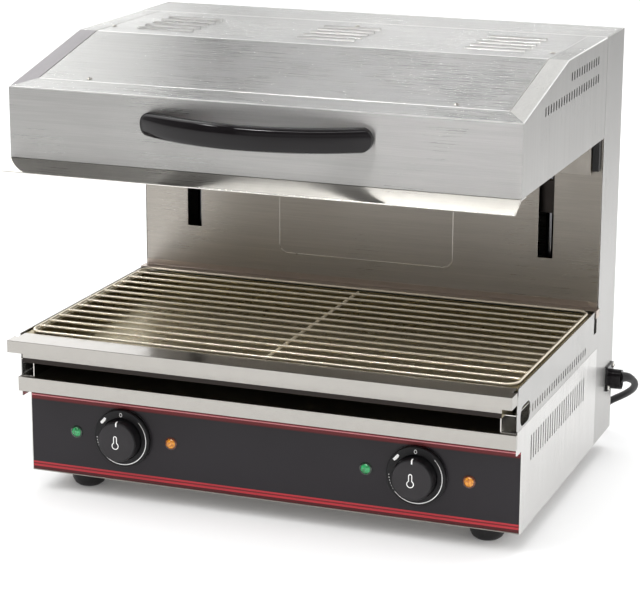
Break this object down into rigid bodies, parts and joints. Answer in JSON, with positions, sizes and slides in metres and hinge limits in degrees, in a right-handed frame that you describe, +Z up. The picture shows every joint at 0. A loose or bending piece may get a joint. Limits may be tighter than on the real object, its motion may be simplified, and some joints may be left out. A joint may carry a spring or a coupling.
{
  "type": "cheese melter",
  "caption": "Counter-top salamander grill: a louvred heating hood slides up and down a rear column above a wire grid, drip pan and control fascia.",
  "frame": {"origin": "on the table surface, under the middle of the grill, without its cord", "axes": "+X to the right when facing the controls, +Y from the controls to the back cover, +Z up"},
  "size_m": [0.6332, 0.6414, 0.5324],
  "materials": {
    "brushed_steel": "brushed",
    "polished_steel": "polished",
    "plain_steel": "plain",
    "fascia_film": "satin with red stripes",
    "black_gloss": "gloss",
    "black_matte": "matte",
    "black_rubber": "matte",
    "green_lens": "gloss",
    "amber_lens": "gloss",
    "rod_chrome": "ground",
    "spring_steel": "drawn",
    "bronze": "sintered",
    "heating_tube": "oxidised",
    "wool": "fibrous",
    "ceramic": "unglazed"
  },
  "bodies": {
    "cabinet": {"floor_pan": "plain_steel", "lower_side_left": "brushed_steel", "lower_side_right": "brushed_steel", "control_fascia": "fascia_film", "front_rail": "brushed_steel", "base_cover": "plain_steel", "upper_side_left": "brushed_steel", "upper_side_right": "brushed_steel", "runner_left": "polished_steel", "runner_right": "polished_steel", "column_front": "brushed_steel", "column_side_left": "brushed_steel", "column_side_right": "brushed_steel", "column_top": "brushed_steel", "back_cover": "brushed_steel", "rear_ledge": "brushed_steel", "rod_bracket_upper": "plain_steel", "rod_bracket_lower": "plain_steel", "guide_rod_left": "rod_chrome", "guide_rod_right": "rod_chrome", "spring_left": "spring_steel", "spring_right": "spring_steel", "feet_front": "black_rubber", "feet_rear": "black_rubber", "cabinet_screws": "polished_steel", "thermostat_left": "ceramic", "thermostat_right": "ceramic", "power_lamp_left": "green_lens", "power_lamp_right": "green_lens", "heat_lamp_left": "amber_lens", "heat_lamp_right": "amber_lens", "terminal_block": "ceramic", "cord_gland": "black_matte", "power_cord": "black_rubber", "cord_coil": "black_rubber", "mains_plug": "black_rubber"},
    "hood": {"hood_shell": "brushed_steel", "hood_cover": "brushed_steel", "hood_rear_panel": "brushed_steel", "hood_visor": "polished_steel", "hood_handle": "black_gloss", "hood_screws": "polished_steel", "reflector": "polished_steel", "insulation": "wool", "heating_element_left": "heating_tube", "heating_element_right": "heating_tube", "element_hangers": "plain_steel", "lift_arm_left": "polished_steel", "lift_arm_right": "polished_steel", "carriage_left": "plain_steel", "carriage_right": "plain_steel", "bearing_bushes": "bronze", "glide_pads": "black_matte"},
    "pan": {"drip_pan": "polished_steel", "pan_rail": "polished_steel"},
    "grid": {"wire_grid": "polished_steel"},
    "left_dial": {"knob_left": "black_matte", "spindle_left": "plain_steel"},
    "right_dial": {"knob_right": "black_matte", "spindle_right": "plain_steel"}
  },
  "joints": [
    {"name": "hood_lift", "type": "slide", "parent": "cabinet", "child": "hood", "axis": [0, 0, 1], "range_m": [-0.15, 0], "deforming": ["spring_left", "spring_right"]},
    {"name": "pan_slide", "type": "slide", "parent": "cabinet", "child": "pan", "axis": [0, -1, 0], "range_m": [0, 0.22]},
    {"name": "grid_lift", "type": "slide", "parent": "pan", "child": "grid", "axis": [0, 0, 1], "range_m": [0, 0.038]},
    {"name": "left_dial_turn", "type": "hinge", "parent": "cabinet", "child": "left_dial", "pos_m": [-0.18, -0.1682, 0.0802], "axis": [0, 1, 0], "range_deg": [0, 270]},
    {"name": "right_dial_turn", "type": "hinge", "parent": "cabinet", "child": "right_dial", "pos_m": [0.18, -0.1682, 0.0802], "axis": [0, 1, 0], "range_deg": [0, 270]}
  ]
}
